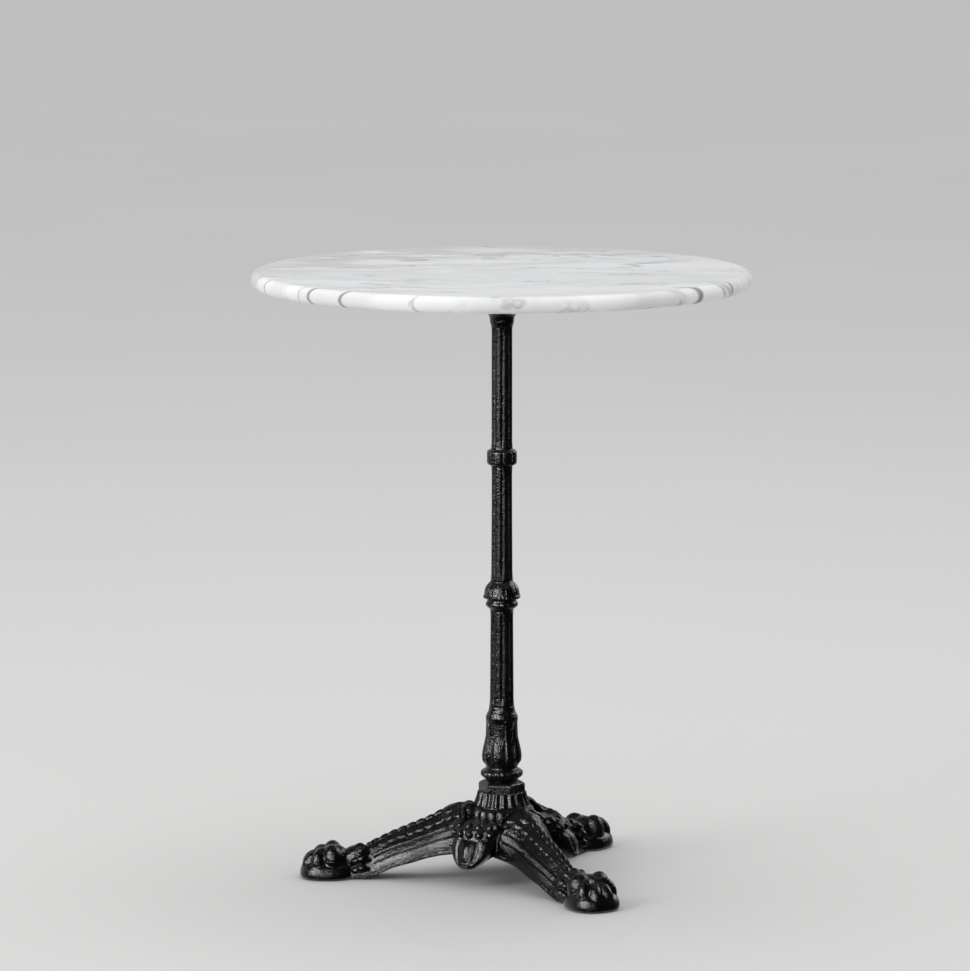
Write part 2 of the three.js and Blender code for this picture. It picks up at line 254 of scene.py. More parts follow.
class Nodes:
    """Short calls for a node tree."""

    def __init__(self, tree, space="Object"):
        self.tree = tree
        self.place = self.add("ShaderNodeTexCoord").outputs[space]

    def add(self, kind, **settings):
        node = self.tree.nodes.new(kind)
        for key, value in settings.items():
            setattr(node, key, value)
        return node

    def put(self, socket, value):
        if isinstance(value, bpy.types.NodeSocket):
            self.tree.links.new(value, socket)
        else:
            socket.default_value = value

    def noise(self, scale, detail, vector=None, roughness=0.5, output="Fac"):
        node = self.add("ShaderNodeTexNoise")
        self.put(node.inputs["Vector"], vector or self.place)
        self.put(node.inputs["Scale"], scale)
        self.put(node.inputs["Detail"], detail)
        self.put(node.inputs["Roughness"], roughness)
        return node.outputs[output]

    def maths(self, operation, a, b=0.0):
        node = self.add("ShaderNodeMath", operation=operation)
        self.put(node.inputs[0], a)
        self.put(node.inputs[1], b)
        return node.outputs[0]

    def spread(self, value, low, high, to_low=0.0, to_high=1.0):
        """A smooth step from to_low to to_high as the value goes from low to high."""
        node = self.add("ShaderNodeMapRange", interpolation_type="SMOOTHSTEP")
        for socket, v in zip(node.inputs, (value, low, high, to_low, to_high)):
            self.put(socket, v)
        return node.outputs[0]

    def blend(self, factor, a, b):
        """Colour a where the factor is 0 and b where it is 1."""
        node = self.add("ShaderNodeMix", data_type="RGBA")
        self.put(node.inputs["Factor"], factor)
        for socket, color in zip(node.inputs[6:8], (a, b)):
            self.put(socket, color)
        return node.outputs[2]

    def mapped(self, scale, rotation=(0, 0, 0), location=(0, 0, 0), vector=None):
        node = self.add("ShaderNodeMapping")
        self.put(node.inputs["Vector"], vector or self.place)
        self.put(node.inputs["Location"], location)
        self.put(node.inputs["Rotation"], rotation)
        self.put(node.inputs["Scale"], scale)
        return node.outputs[0]

    def bump(self, height, distance, strength=1.0, normal=None):
        node = self.add("ShaderNodeBump")
        self.put(node.inputs["Height"], height)
        self.put(node.inputs["Distance"], distance)
        self.put(node.inputs["Strength"], strength)
        if normal:
            self.put(node.inputs["Normal"], normal)
        return node.outputs[0]


class Material(Nodes):
    """A new material's node tree, round its principled shader."""

    def __init__(self, name):
        self.material = bpy.data.materials.new(name)
        self.material.use_nodes = True
        super().__init__(self.material.node_tree)
        self.shader = self.tree.nodes["Principled BSDF"]

    def finish(self, color, roughness, normal=None, **constants):
        self.put(self.shader.inputs["Base Color"], color)
        self.put(self.shader.inputs["Roughness"], roughness)
        if normal:
            self.put(self.shader.inputs["Normal"], normal)
        for key, value in constants.items():
            socket = key.replace("_", " ").title().replace("Ior", "IOR")
            self.shader.inputs[socket].default_value = value
        return self.material


def painted_iron():
    """Gloss black paint over sandy cast iron, a little thin and brown in scattered spots."""
    n = Material("black_iron")
    grain = n.noise(380, 3, roughness=0.6)
    swell = n.noise(140, 2)
    tone = n.spread(n.noise(60, 3), 0.4, 0.75)
    worn = n.spread(n.noise(330, 4, roughness=0.7), 0.66, 0.78)
    painted = n.blend(tone, (0.0022, 0.0023, 0.0026, 1), (0.005, 0.0051, 0.0054, 1))
    color = n.blend(worn, painted, (0.014, 0.0125, 0.011, 1))
    roughness = n.spread(n.noise(240, 3), 0.3, 0.75, 0.07, 0.2)
    coarse = n.bump(swell, 0.0012, 0.4)
    normal = n.bump(grain, 0.0011, 0.75, coarse)
    return n.finish(color, roughness, normal, specular_ior_level=0.42)


# Where a vein meets the rim (x, y in metres), its slope on the top, its width and how far it runs.
RIM_VEINS = (
    ((-0.283, -0.113), 0.10, 0.0030, 0.10),
    ((-0.228, -0.202), 0.08, 0.0036, 0.16),
    ((-0.190, -0.238), 0.12, 0.0032, 0.14),
    ((0.274, -0.134), -0.10, 0.0028, 0.07),
    ((0.234, -0.195), -0.05, 0.0070, 0.04),
)


def polished_marble():
    """White marble: soft grey-beige streaks toward the back, thin veins, and a few that cross the rim."""
    n = Material("marble")
    warp = n.noise(4, 4, output="Color")

    def warped(amount):
        shift = n.add("ShaderNodeVectorMath", operation="MULTIPLY_ADD")
        n.put(shift.inputs[0], warp)
        n.put(shift.inputs[1], (amount, amount, amount))
        n.put(shift.inputs[2], n.place)
        return shift.outputs[0]

    def veins(scale, stretch, turn, width, seed):
        vector = n.mapped(stretch, (0, 0, math.radians(turn)), (seed, seed * 0.7, 0), warped(0.16))
        value = n.noise(scale, 5, vector, 0.55)
        ridge = n.maths("ABSOLUTE", n.maths("SUBTRACT", value, 0.5))
        return n.spread(ridge, 0.0, width, 1.0, 0.0)

    mean_shift = 0.01  # half of the warp below, because noise is about 0.5 on average
    place = n.add("ShaderNodeSeparateXYZ")
    n.put(place.inputs[0], warped(2 * mean_shift))
    x, y = place.outputs["X"], place.outputs["Y"]

    def sheet(at, slope, width, reach):
        """A thin plane of dark stone that meets the rim at a point and fades along the top."""
        along = n.maths("SUBTRACT", x, at[0] + mean_shift)
        beside = n.maths("SUBTRACT", y, at[1] + mean_shift)
        line = n.maths("SUBTRACT", beside, n.maths("MULTIPLY", along, slope))
        thin = n.spread(n.maths("ABSOLUTE", line), 0.0, width, 1.0, 0.0)
        fade = n.spread(n.maths("ABSOLUTE", along), 0.015, reach, 1.0, 0.0)
        return n.maths("MULTIPLY", thin, fade)

    patches = n.spread(n.noise(5.5, 3, n.mapped((1, 1.6, 1), location=(2.2, 0.4, 0))), 0.40, 0.66)
    fine = n.maths("MULTIPLY", veins(5.0, (1, 2.4, 1), 10, 0.024, 1.3), patches)
    slant = n.maths("SUBTRACT", y, n.maths("MULTIPLY", x, 0.45))
    toward_back = n.spread(slant, -0.05, 0.25, 0.25, 0.95)
    broad = n.maths("MULTIPLY", veins(2.9, (1, 3.4, 1), 6, 0.13, 4.1), toward_back)
    sheets = 0.0
    for at, slope, width, reach in RIM_VEINS:
        sheets = n.maths("MAXIMUM", sheets, sheet(at, slope, width, reach))
    cloud = n.spread(n.noise(3.4, 5, n.mapped((1, 1.8, 1), (0, 0, 0.3)), 0.6), 0.42, 0.8)
    white = n.blend(cloud, (0.83, 0.83, 0.818, 1), (0.69, 0.684, 0.665, 1))
    streaked = n.blend(broad, white, (0.44, 0.422, 0.395, 1))
    veined = n.blend(fine, streaked, (0.17, 0.165, 0.16, 1))
    color = n.blend(n.maths("MULTIPLY", sheets, 0.8), veined, (0.15, 0.145, 0.14, 1))
    roughness = n.spread(n.noise(35, 3), 0.3, 0.7, 0.05, 0.11)
    normal = n.bump(n.noise(18, 2), 0.0002, 0.2)
    return n.finish(
        color,
        roughness,
        normal,
        subsurface_weight=0.05,
        subsurface_scale=0.004,
        coat_weight=0.2,
    )


def machined(name, color, dark, roughness):
    """A plated or turned metal with fine marks and a little tarnish."""
    n = Material(name)
    streaks = n.noise(500, 2, n.mapped((1, 1, 8)))
    tarnish = n.spread(n.noise(180, 4), 0.45, 0.75)
    tint = n.blend(tarnish, (*color, 1), (*dark, 1))
    rough = n.spread(streaks, 0.3, 0.7, roughness - 0.08, roughness + 0.12)
    return n.finish(tint, rough, n.bump(streaks, 0.00005, 0.4), metallic=1.0)


def moulded_nylon():
    n = Material("nylon")
    grain = n.noise(900, 3)
    color = n.blend(n.noise(90, 3), (0.012, 0.012, 0.012, 1), (0.03, 0.03, 0.03, 1))
    return n.finish(color, n.spread(grain, 0.3, 0.7, 0.5, 0.68), n.bump(grain, 0.0001, 0.5))


IRON = painted_iron()
MARBLE = polished_marble()
STEEL = machined("zinc_steel", (0.56, 0.56, 0.55), (0.33, 0.32, 0.30), 0.34)
BRASS = machined("brass", (0.72, 0.52, 0.24), (0.42, 0.27, 0.11), 0.3)
NYLON = moulded_nylon()


def add_casting(name, part, node):
    add_piece(name + "_casting", part, node, IRON)


# ---------------------------------------------------------------- slab


def slab():
    edge = (SLAB_HIGH - SLAB_LOW) / 2
    turn = np.radians(np.linspace(-90, 90, 25))
    flat = SLAB_RADIUS - edge
    rim = [(flat + edge * math.cos(a), SLAB_LOW + edge + edge * math.sin(a)) for a in turn]
    outline = [(1, SLAB_LOW), *rim, (1, SLAB_HIGH)]
    return turned(outline, around=384, step=1.0, rounds=1)


add_piece("marble_slab", slab(), "marble_top", MARBLE, sharp=60)


# ---------------------------------------------------------------- column ornament

FLUTES = 8
LEAF_COUNT = 8
LEAF_TURN = math.radians(16)
LEAF_BETWEEN = LEAF_TURN + math.pi / LEAF_COUNT
RING_BELOW_TOP = 175
RING_HEIGHT = 19
CAPITAL_HEIGHT = 23


def reeds(angle, depth):
    """Round reeds with narrow grooves between them."""
    return depth * (np.abs(np.sin(FLUTES * angle / 2)) ** 0.55 - 1)


def leaves(angle, z, foot, tip, turn, height):
    """Pointed leaves round a casting, from foot to tip, hollowed between a raised edge and a midrib."""
    along = (z - foot) / (tip - foot)
    inside = (along >= 0) & (along <= 1)
    step = 2 * math.pi / LEAF_COUNT
    across = (np.mod(angle - turn + step / 2, step) - step / 2) / (step / 2)
    shape = np.sqrt(np.clip(1 - np.clip(along, 0, 1) ** 2.6, 0, 1)) * 1.04
    u = np.abs(across) / np.maximum(shape, 0.02)
    body = smoothstep((1 - u) / 0.16) * (0.6 + 0.4 * smoothstep((0.9 - along) / 0.6))
    body = body * smoothstep(along / 0.22)
    hollow = 0.62 + 0.38 * u * u
    rib = 0.42 * np.exp(-((across / 0.12) ** 2))
    return np.where(inside & (u < 1), height * body * (hollow + rib), 0)


def upper_column():
    low = KNOP_TOP
    ring_high = COLUMN_TOP - RING_BELOW_TOP
    ring_low = ring_high - RING_HEIGHT
    capital = COLUMN_TOP - CAPITAL_HEIGHT
    outline = [
        (1, low),
        (13.7, low),
        (13.6, low + 4),
        (13.15, ring_low - 60),
        (13.0, ring_low - 5),
        (13.0, ring_low),
        (16.8, ring_low + 0.4),
        (17.2, ring_low + 2),
        (17.2, ring_high - 2),
        (16.8, ring_high - 0.4),
        (13.6, ring_high),
        (13.2, ring_high + 2),
        (13.15, capital),
        (13.9, capital + 1.5),
        (14.6, capital + 4),
        (14.9, capital + 9),
        (16.2, capital + 12.5),
        (19.5, capital + 16),
        (22.8, capital + 18.5),
        (24, capital + 19.5),
        (24, COLUMN_TOP),
        (1, COLUMN_TOP),
    ]

    def relief(angle, r, z):
        shaft = band(z, low + 3, ring_low - 3, 5) + band(z, ring_high + 3, capital - 1, 5)
        height = (z - (ring_low + ring_high) / 2) / (ring_high - ring_low) * 2
        panel = np.abs(np.sin(FLUTES * angle / 2))
        pillow = np.clip(1 - np.abs(height / 0.86) ** 6, 0, 1) * (1 - (1 - panel) ** 3)
        ring = 1.4 * pillow ** 0.6 - 0.9 * (1 - panel) ** 6
        in_ring = (z > ring_low + 1) & (z < ring_high - 1)
        return shaft * reeds(angle, 1.9) + np.where(in_ring, ring, 0)

    fine = [(ring_low - 1, ring_high + 1), (capital - 2, COLUMN_TOP)]
    return turned(outline, relief, core=12, fine=fine)


def knop():
    low = LOWER_TOP
    outline = [
        (1, low),
        (14.3, low),
        (14.9, low + 2.6),
        (17.6, low + 4.6),
        (19.4, low + 6.4),
        (19.8, low + 8.2),
        (19.3, low + 10.4),
        (17.9, low + 12.6),
        (17.6, low + 14),
        (19.4, low + 14.8),
        (21.6, low + 16),
        (21.7, low + 18),
        (20.6, low + 21),
        (19.9, low + 25),
        (18.6, low + 29),
        (16.2, low + 32.5),
        (14.4, low + 35.5),
        (13.9, KNOP_TOP),
        (1, KNOP_TOP),
    ]

    def relief(angle, r, z):
        bead_row = low + 17.6
        beads = np.abs(np.sin(angle * 14)) ** 0.8 * np.clip(1 - ((z - bead_row) / 1.7) ** 2, 0, 1)
        petals = leaves(angle, z, low + 37, low + 15.5, LEAF_TURN, 1.7)
        under = leaves(angle, z, low + 33, low + 14.5, LEAF_BETWEEN, 1.1)
        roll = 0.25 * np.sin(angle * 16) * band(z, low + 5, low + 12, 2)
        return 0.7 * beads + np.maximum(petals, under) + roll

    return turned(outline, relief, core=12, fine=[(low, KNOP_TOP)], around=256)


def lower_column():
    low = VASE_TOP
    outline = [
        (1, low),
        (15.3, low),
        (15.2, low + 3),
        (14.4, LOWER_TOP - 3),
        (14.3, LOWER_TOP),
        (1, LOWER_TOP),
    ]

    def relief(angle, r, z):
        return reeds(angle, 2.0) * band(z, low + 1, LOWER_TOP - 2, 4)

    return turned(outline, relief, core=12)


def vase():
    low = COLLAR_TOP
    outline = [
        (1, low),
        (19.7, low),
        (20.2, low + 2),
        (23.6, low + 4),
        (25.4, low + 6.4),
        (25.8, low + 9.2),
        (25.1, low + 11.6),
        (22.6, low + 13.6),
        (19.6, low + 15),
        (19.2, low + 16.6),
        (20.2, low + 19.4),
        (21.0, low + 24),
        (21.4, low + 30),
        (20.8, low + 38),
        (19.4, low + 47),
        (18.2, low + 55),
        (18.2, low + 72),
        (19.3, low + 75),
        (19.5, low + 79),
        (18.4, low + 82.4),
        (16.4, low + 86),
        (15.4, VASE_TOP),
        (1, VASE_TOP),
    ]

    def relief(angle, r, z):
        lower = leaves(angle, z, low + 17.5, low + 56, LEAF_TURN, 3.5)
        between = leaves(angle, z, low + 22, low + 66, LEAF_BETWEEN, 2.3)
        upper = leaves(angle, z, low + 38, low + 76, LEAF_TURN, 2.0)
        rope = 0.45 * np.cos(angle * 24 + (z - low) * 0.45) * band(z, low + 4.5, low + 13, 2)
        rim = 0.4 * np.abs(np.sin(angle * 12)) * band(z, low + 75, low + 80, 1.2)
        return np.maximum(np.maximum(lower, between), upper) + rope + rim

    return turned(outline, relief, core=14, fine=[(low, VASE_TOP)], around=288)


add_casting("upper_column", upper_column(), "upper_column")
add_casting("knop", knop(), "column_knop")
add_casting("lower_column", lower_column(), "lower_column")
add_casting("vase", vase(), "column_vase")


# ---------------------------------------------------------------- hub

PENDANTS = [ANGLE[side] + math.pi for side in SIDES]
HEX_TWIST = math.radians(-7)
HEX_FOOT = 102
HEX_RADIUS = 28.9
BELL_FOOT = 74
BELL_TOP = 108
# The next four follow the CAD hub. Boxes can't give its faces or its cavity's width.
HUB_RIM = 36
HUB_FACE = 44
CAVITY_RADIUS = 33
CAVITY_TOP = high_of("tie_rod_bottom_washer")[2]


def bell():
    """The ribbed bell over the legs, with a band of broad lobes below a groove."""
    outline = [
        (1, BELL_FOOT),
        (38, BELL_FOOT),
        (40.2, 75),
        (40.6, 80),
        (39.8, 84),
        (38.2, 87.4),
        (35.5, 89.2),
        (33.2, 89.8),
        (32.8, 91),
        (33.4, 92),
        (31.8, 96),
        (30.0, 101),
        (29.0, 105),
        (28.4, BELL_TOP),
        (1, BELL_TOP),
    ]

    def relief(angle, r, z):
        ribs = (np.abs(np.cos(angle * 10.5)) ** 2.2 - 0.3) * 2.1 * band(z, 90.5, 109.5, 1.6)
        lobes = (np.abs(np.sin(angle * 9)) ** 0.6 - 0.7) * 2.6 * band(z, 76, 89.4, 1.8)
        return ribs + lobes

    fine = [(BELL_FOOT - 1, BELL_TOP)]
    return turned(outline, relief, core=27, fine=fine, around=420, step=0.6, rounds=2)


def hex_collar():
    """Six-sided collar with bevelled edges and a sloping shoulder."""
    outline = [
        (1, HEX_FOOT),
        (HEX_RADIUS, HEX_FOOT),
        (HEX_RADIUS, 117),
        (28.2, 118.4),
        (22.5, COLLAR_TOP),
        (1, COLLAR_TOP),
    ]

    def relief(angle, r, z):
        turn = np.mod(angle - HEX_TWIST, math.pi / 3) - math.pi / 6
        flat = math.cos(math.pi / 6) / np.cos(turn)
        return r * (np.minimum(flat, 0.99) - 1)

    fine = [(HEX_FOOT, COLLAR_TOP)]
    return turned(outline, relief, core=20, fine=fine, around=288, step=0.8, rounds=1)


def skirt():
    """The three-cornered shell between the legs, over the cavity for the nut."""
    angle = np.linspace(0, 2 * math.pi, 288, endpoint=False)
    turn = np.mod(angle, 2 * math.pi / 3) - math.pi / 3
    corner = np.clip((np.abs(turn) - 0.72) / 0.32, 0, 1)
    reach = HUB_FACE / np.cos(turn)
    rows = []

    def ring(radius, z):
        rows.append(np.column_stack([radius * np.cos(angle), radius * np.sin(angle), z + 0 * angle]))

    top = CAVITY_TOP + 2
    drop = 11.5  # of the rim's corners below its middle
    ring(1 + 0 * angle, CAVITY_TOP)
    for z in np.linspace(CAVITY_TOP, HUB_RIM, 10):
        ring(CAVITY_RADIUS + 0 * angle, z)
    for share in np.linspace(0, 1, 50):
        z = HUB_RIM + share * (top - HUB_RIM)
        widest = np.interp(z, [HUB_RIM, 60, 68, 71, 73.5, 76, 80], [84, 80, 74, 66, 56, 46, 37])
        ring(np.minimum(reach, widest), z - drop * corner * (1 - share) ** 2)
    ring(1 + 0 * angle, top)
    return skin(np.array(rows))


# The pendant's front and its half width, by height.
pendant_front = through(
    [
        (24.5, 91),
        (28, 93.5),
        (42, 89),
        (55, 84),
        (60, 80.5),
        (71, 78),
        (75, 68),
        (78, 52),
        (80, 40),
    ]
)
pendant_width = through(
    [
        (24.5, 9),
        (28, 13),
        (34, 19),
        (42, 24),
        (54, 26.5),
        (70, 27),
        (75, 25),
        (78, 22),
        (80, 18),
    ]
)


def pendant_leaf():
    """A hanging leaf along +X with a bulge down its middle and a furrow on each side."""
    around = np.linspace(0, 2 * math.pi, 144, endpoint=False)
    c, d = np.cos(around), np.sin(around)
    across = np.sign(d) * np.abs(d) ** 0.8
    depth = np.where(c > 0, 14 * np.abs(c) ** 0.7, -18 * np.abs(c) ** 0.6)
    rows = []
    for z in np.linspace(25.2, 79.8, 76):
        bulge = 4.0 * np.exp(-((across / 0.3) ** 2)) * band(z, 30, 62, 12)
        furrow = 1.8 * np.exp(-(((np.abs(across) - 0.5) / 0.1) ** 2)) * band(z, 28, 63, 8)
        x = pendant_front(z) - 14 + depth + np.where(c > 0, bulge - furrow, 0)
        rows.append(np.column_stack([x, pendant_width(z) * across, z + 0 * x]))
    return skin(np.array(rows))


def pendant_beads():
    """Two staggered rows of beads over the leaf."""
    beads = []
    for height, places in ((74.5, (-21, -7, 7, 21)), (66.5, (-25, -13, 0, 13, 25))):
        for y in places:
            fall = 14 - 14 * (1 - (abs(y) / 27) ** 2.5) ** 0.35
            centre = (pendant_front(height) - fall - 1.2, y, height)
            beads.append(ball(centre, (5.8, 5.0, 4.6), 20, sides=20))
    return beads


def pendant():
    """The leaf with its rolled tip, and the bosses and lobes on both sides of it."""
    parts = [pendant_leaf(), ball((87.5, 0, 30), (8, 11, 3.4))]
    for hand in (-1, 1):
        parts.append(ball((58.5, hand * 25.5, 73), (8.2, 8.2, 8)))
        parts.append(ball((50, hand * 22, 68), (9, 7, 9)))
        parts.append(ball((73, hand * 15, 51), (10, 8.5, 13)))
    return fused([*parts, *pendant_beads()], 0.7)


hanging = pendant()
hub_parts = [bell(), hex_collar(), skirt(), *(spun(hanging, turn) for turn in PENDANTS)]
add_casting("hub", hub_parts, "base_hub")


# ---------------------------------------------------------------- legs

LEG_ROOT = 44.4
LEG_END = 186
ROOT_LOW = 37
ROOT_HIGH = 93.5
ROOT_HALF_WIDTH = 39
SCALE_PITCH = 11.2
SCALE_START = 50
RECESS_RADIUS = 13.4
RECESS_TOP = high_of("glide_pad_left")[2] + 1.2
WELL_RADIUS = 5.8
WELL_TOP = high_of("glide_stem_left")[2] + 1

# The leg's section, by the distance from the table's axis.
ridge = through(
    [
        (44, ROOT_HIGH),
        (52, 92.8),
        (60, 90.5),
        (75, 82),
        (88, 75),
        (112, 65),
        (124, 60),
        (137, 54.5),
        (150, 48),
        (167, 40),
        (187, 28),
    ]
)
underside = through(
    [
        (44, ROOT_LOW),
        (58, 35.8),
        (72, 33.8),
        (91, 29.5),
        (111, 23.3),
        (132, 17),
        (149, 9),
        (163, 3),
        (175, 2),
        (187, 2),
    ]
)
half_width = through(
    [
        (44, ROOT_HALF_WIDTH),
        (52, 38.6),
        (61, 36.5),
        (72, 33.3),
        (80, 31.5),
        (90, 30),
        (113, 29),
        (140, 24.5),
        (160, 20.5),
        (187, 19),
    ]
)
fullness = through([(44, 4.2), (60, 3.2), (80, 2.3), (187, 2.0)])


def at_station(s, across, z):
    """Points at one distance along the leg."""
    return np.column_stack([np.full_like(across, s), across, z])


def pushed_out(across, z, share, push):
    """Half a section moved along its own normal, where share runs from its foot to its crest."""
    slope_across, slope_z = np.gradient(across, share), np.gradient(z, share)
    size = np.hypot(slope_across, slope_z)
    return across + push * slope_z / size, z - push * slope_across / size


def leg_body():
    """The leg along +X: splayed sides with engraved lines, under a leaf that folds over the crest."""
    stations = np.arange(LEG_ROOT, LEG_END, 0.6)
    side = np.concatenate([np.linspace(0, 0.06, 6)[:-1], np.linspace(0.06, 1, 96)])
    wall = 4
    rows = []
    for s in stations:
        low, high, wide, power = underside(s), ridge(s), half_width(s), fullness(s)
        push = flank_relief(s, side)
        across = np.maximum(wide * (1 - side**power), 0)
        across, z = pushed_out(across, low + side * (high - low), side, push)
        z[-1] = high + push[-1]
        near = at_station(s, -across, z)[:-1]
        far = at_station(s, across, z)[::-1]
        share = np.linspace(1, -1, 26)[1:-1]
        channel = (across[0] - wall) * share
        depth = 9 * band(s, 62, 158, 10) * (1 - np.abs(share) ** 6)
        rows.append(np.vstack([near, far, at_station(s, channel, low + depth)]))
    return skin(np.array(rows))


def flank_relief(s, f):
    """Ornament over the plain leg, by the distance along it and the share of its height."""
    wave = np.mod((s - SCALE_START) / SCALE_PITCH + 0.35 * (1 - f), 1)
    scale = np.sin(math.pi * wave) ** 0.6
    edge = 0.755 + 0.05 * (1 - scale)
    on_leaf = smoothstep((f - edge) / 0.035)
    barbs = 0.22 * np.cos(2 * math.pi * (s / 3.7 + 3.0 * f))
    raised = 0.35 * scale * (1 - smoothstep((f - 0.88) / 0.08))
    leaf = on_leaf * (1.2 + raised + barbs * (f < 0.93))
    crest = np.sin(math.pi * np.mod((s - SCALE_START) / SCALE_PITCH, 1)) ** 0.7
    beads = 2.2 * crest * smoothstep((f - 0.945) / 0.03) * smoothstep((s - 66) / 6)
    fade = band(s, 47, 168, 4)
    lines = sum(np.exp(-(((f - at) / 0.02) ** 2)) for at in (0.39, 0.585)) * band(s, 57, 158, 3)
    in_panel = band(f, 0.42, 0.56, 0.03) * band(s, 60, 150, 6)
    hatch = 0.22 * np.cos(2 * math.pi * (s / 2.6 + 5 * f)) * in_panel
    strip = 1.1 * band(s, 49.5, 54.5, 0.8) * (f < 0.74)
    rim = 0.9 * smoothstep((0.085 - f) / 0.03) * band(s, 56, 170, 3)
    return (leaf + beads) * fade - 1.5 * lines * (1 - on_leaf) + hatch + strip + rim


def root_lobes():
    """A pleated lobe where the leg meets the bell, and the smooth leaf that starts the crest."""
    turn = np.linspace(0, 2 * math.pi, 120, endpoint=False)[None, :]
    tilt = np.linspace(0, math.pi, 30)[1:-1, None]
    pleat = 1 + 0.05 * np.cos(11 * turn) * np.sin(tilt)
    x = 40 - 12 * np.cos(tilt) + 0 * turn
    y = 20.5 * np.sin(tilt) * np.cos(turn) * pleat
    z = 79 + 15.8 * np.sin(tilt) * np.sin(turn) * pleat
    return [skin(np.stack([x, y, z], -1)), ball((57, 0, 77.5), (21, 15, 14.5), 16)]


def root_collar():
    """A pleated arch that finishes the leg against the hub."""
    side = np.linspace(0.5, 1, 60)
    across = ROOT_HALF_WIDTH * (1 - side**4.2)
    height = ROOT_LOW + side * (ROOT_HIGH - ROOT_LOW)
    roll = (
        (LEG_ROOT, 0),
        (44.6, 2.2),
        (46, 3.2),
        (48.2, 3.0),
        (49.6, 1.8),
        (50.2, -1),
        (48, -3),
        (45, -3),
    )
    rows = []
    for s, out in roll:
        pleat = 0.7 * np.abs(np.sin(side * 30)) if out > 0 else 0
        push = (out + pleat) * band(side, 0.5, 0.985, 0.1)
        half = at_station(s, *pushed_out(across, height, side, push))
        rows.append(np.vstack([half, (half * (1, -1, 1))[::-1][1:]]))
    return skin(np.array(rows).transpose(1, 0, 2))


def paw_base():
    """The rounded foot under the toes."""
    plan = np.linspace(0, 2 * math.pi, 96, endpoint=False)
    c, d = np.cos(plan), np.sin(plan)
    round_off = (np.abs(c) ** 2.4 + np.abs(d) ** 2.4) ** (-1 / 2.4)
    x, y = 33.2 * c * round_off, 31.4 * d * round_off
    levels = (
        (0.05, 2),
        (0.97, 2),
        (1, 3.4),
        (1.005, 7),
        (0.985, 11),
        (0.93, 15),
        (0.82, 19),
        (0.6, 23),
        (0.2, 25),
    )
    return skin(np.array([np.column_stack([PAW + k * x, k * y, z + 0 * x]) for k, z in levels]))


def toes():
    """Four rolled toes between two side pads."""
    rolls = []
    for turn, reach, height, size in (
        (112, 12, 21.5, (16.5, 13.5, 22)),
        (56, 11, 19, (19.5, 11.5, 20)),
        (18, 13.5, 15.5, (19.5, 11, 18.5)),
    ):
        for way in (-turn, turn):
            a = math.radians(way)
            spot = (PAW - 1 + reach * math.cos(a), reach * math.sin(a) * 1.05, height)
            rolls.append(ball(spot, size, 14, way))
    return rolls


def ankle_curls():
    """Curls round the ankle, each one a ball between two smaller ones."""
    curls = []
    for i in range(-3, 4):
        a = math.radians(90 + 33 * i)
        x = PAW - 40 - 3 * abs(math.cos(a))
        y, z = 19 * math.cos(a), 17 + 20 * math.sin(a)
        curls.append(ball((x, y, z), (7, 5.4, 5.4), 20))
        curls.append(ball((x + 7.5, y * 0.92, z - 2.5), (5.4, 4.4, 4.4), 20))
        curls.append(ball((x - 7, y * 0.95, z - 1), (4.4, 3.2, 3.2), 10))
    return curls


def paw():
    """A lion's paw along +X, with the recess and the well that its glide goes into."""
    back = ball((PAW - 8, 0, 19.5), (21.5, 21.5, 21.5))
    ankle = ball((PAW - 38, 0, 22), (22, 17, 18))
    parts = [paw_base(), back, *toes(), *ankle_curls(), ankle]
    points, faces = fused([above_sole(part) for part in parts], 0.8)
    from_stem = np.hypot(points[:, 0] - PAW, points[:, 1])
    for radius, ceiling in ((RECESS_RADIUS, RECESS_TOP), (WELL_RADIUS, WELL_TOP)):
        inside = (from_stem < radius) & (points[:, 2] < RECESS_TOP + 0.1)
        points[inside, 2] = ceiling
    return points, faces


def above_sole(part):
    points = part[0].copy()
    points[:, 2] = np.maximum(points[:, 2], SOLE)
    return points, part[1]


leg_parts = [leg_body(), root_collar(), *root_lobes(), paw()]
for side in SIDES:
    name = "leg_" + side
    add_casting(name, [spun(part, ANGLE[side]) for part in leg_parts], name)


# ---------------------------------------------------------------- fixings kept from the frame

FINISHES = (
    ("mounting_spider", IRON),
    ("top_insert", BRASS),
    ("top_screw", STEEL),
    ("tie_rod", STEEL),
    ("leg_bolt", STEEL),
    ("leg_washer", STEEL),
    ("glide_stem", STEEL),
    ("glide_pad", NYLON),
)
for obj in bpy.data.objects:
    for start, material in FINISHES:
        if obj.type == "MESH" and obj.name.startswith(start):
            for held in obj.material_slots:
                held.material = material


# ---------------------------------------------------------------- studio

AMBIENT = 0.96  # strength of the even light


def floor():
    size = 30
    corners = [(-size, -size, 0), (size, -size, 0), (size, size, 0), (-size, size, 0)]
    mesh = bpy.data.meshes.new("floor")
    mesh.from_pydata(corners, [], [(0, 1, 2, 3)])
    obj = bpy.data.objects.new("floor", mesh)
    bpy.context.scene.collection.objects.link(obj)
    n = Material("studio_floor")
    tone = n.blend(n.noise(0.8, 4), (0.55, 0.54, 0.525, 1), (0.58, 0.57, 0.555, 1))
    mesh.materials.append(n.finish(tone, 0.9, specular_ior_level=0.0))
    obj.visible_glossy = False


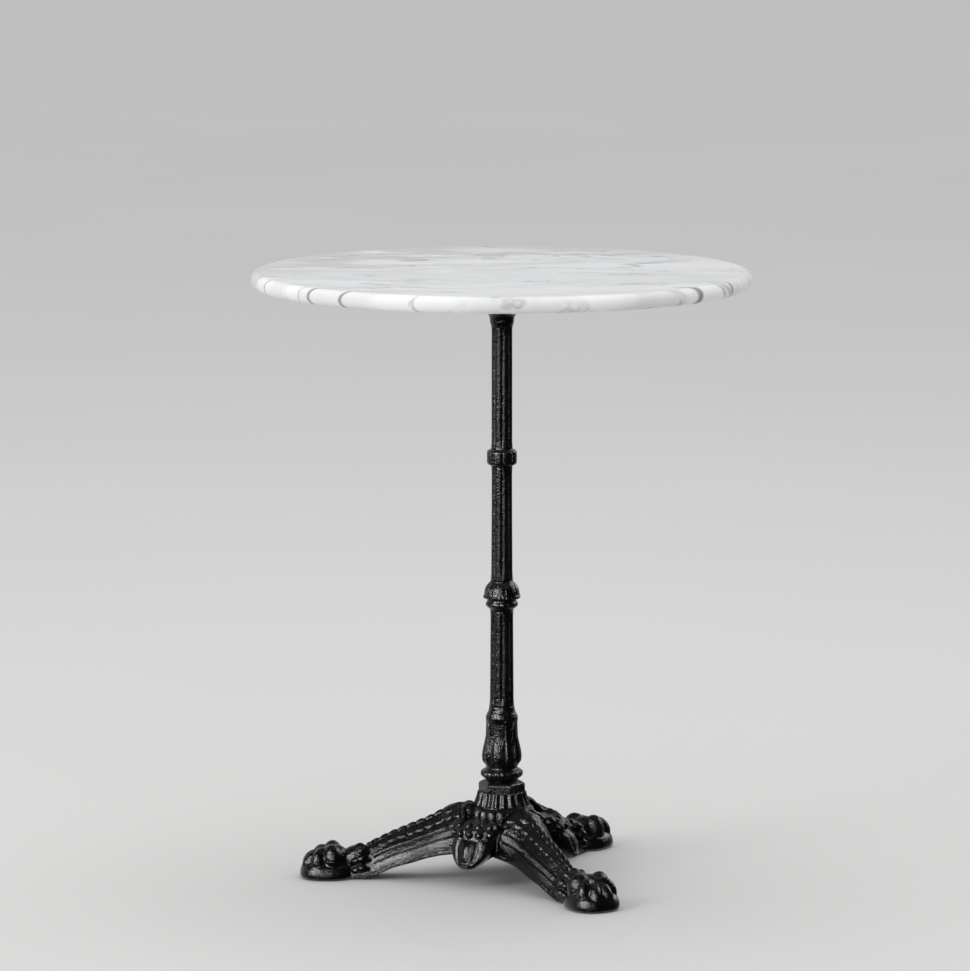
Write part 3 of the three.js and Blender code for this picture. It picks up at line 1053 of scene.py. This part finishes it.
def surroundings():
    """Even light on everything, but reflections see a dim room that is bright low down at the back."""
    world = bpy.data.worlds.new("studio")
    bpy.context.scene.world = world
    world.use_nodes = True
    world.cycles.sampling_method = "NONE"
    n = Nodes(world.node_tree, "Generated")
    toward = n.add("ShaderNodeVectorMath", operation="DOT_PRODUCT")
    n.put(toward.inputs[0], n.place)
    n.put(toward.inputs[1], (-0.45, 0.85, -0.35))
    mirrored = n.spread(toward.outputs["Value"], 0.0, 1.0, 0.015, 0.62)
    strength = n.add("ShaderNodeMix", data_type="FLOAT")
    n.put(strength.inputs[0], n.add("ShaderNodeLightPath").outputs["Is Glossy Ray"])
    n.put(strength.inputs[2], AMBIENT)
    n.put(strength.inputs[3], mirrored)
    glow = world.node_tree.nodes["Background"]
    n.put(glow.inputs["Color"], (0.95, 0.97, 1.0, 1))
    n.put(glow.inputs["Strength"], strength.outputs[0])


def lamp(name, place, size, energy):
    """A rectangular lamp aimed at the middle of the table."""
    light = bpy.data.lights.new(name, "AREA")
    light.shape = "RECTANGLE"
    light.size, light.size_y = size
    light.energy = energy
    obj = bpy.data.objects.new(name, light)
    obj.location = place
    aim = np.array([0, 0, 0.4]) - place
    down = math.atan2(math.hypot(aim[0], aim[1]), -aim[2])
    obj.rotation_euler = (down, 0, math.atan2(aim[1], aim[0]) - math.pi / 2)
    bpy.context.scene.collection.objects.link(obj)
    return obj


def lighting():
    """Two soft lamps light everything, and three others only shine in the paint of the castings."""
    castings = bpy.data.collections.new("castings")
    for obj in bpy.data.objects:
        if obj.type == "MESH" and IRON.name in obj.data.materials:
            castings.objects.link(obj)
    for name, place, size, energy in (
        ("window", (-4.0, -3.3, 2.6), (2.0, 2.6), 106),
        ("top", (0.3, 0.9, 5.0), (3.8, 3.8), 68),
    ):
        lamp(name, place, size, energy).visible_glossy = False
    for name, place, size, energy in (
        ("glare", (-3.9, -3.5, 2.4), (1.3, 2.4), 430),
        ("sheen", (-1.4, -5.0, 1.4), (2.2, 1.6), 130),
        ("fill", (3.6, 3.2, 2.4), (1.8, 2.4), 80),
    ):
        shine = lamp(name, place, size, energy)
        shine.visible_diffuse = False
        shine.light_linking.receiver_collection = castings


def camera():
    """A long lens in front of the table, a little above it."""
    down = math.radians(8.06)
    data = bpy.data.cameras.new("camera")
    data.sensor_width = 36
    data.lens = 221
    data.clip_end = 100
    obj = bpy.data.objects.new("camera", data)
    obj.location = (-0.0206, -7.2, 1.506)
    obj.rotation_euler = (math.pi / 2 - down, 0, 0)
    bpy.context.scene.collection.objects.link(obj)
    bpy.context.scene.camera = obj


floor()
surroundings()
lighting()
camera()
bpy.context.scene.view_settings.view_transform = "Standard"
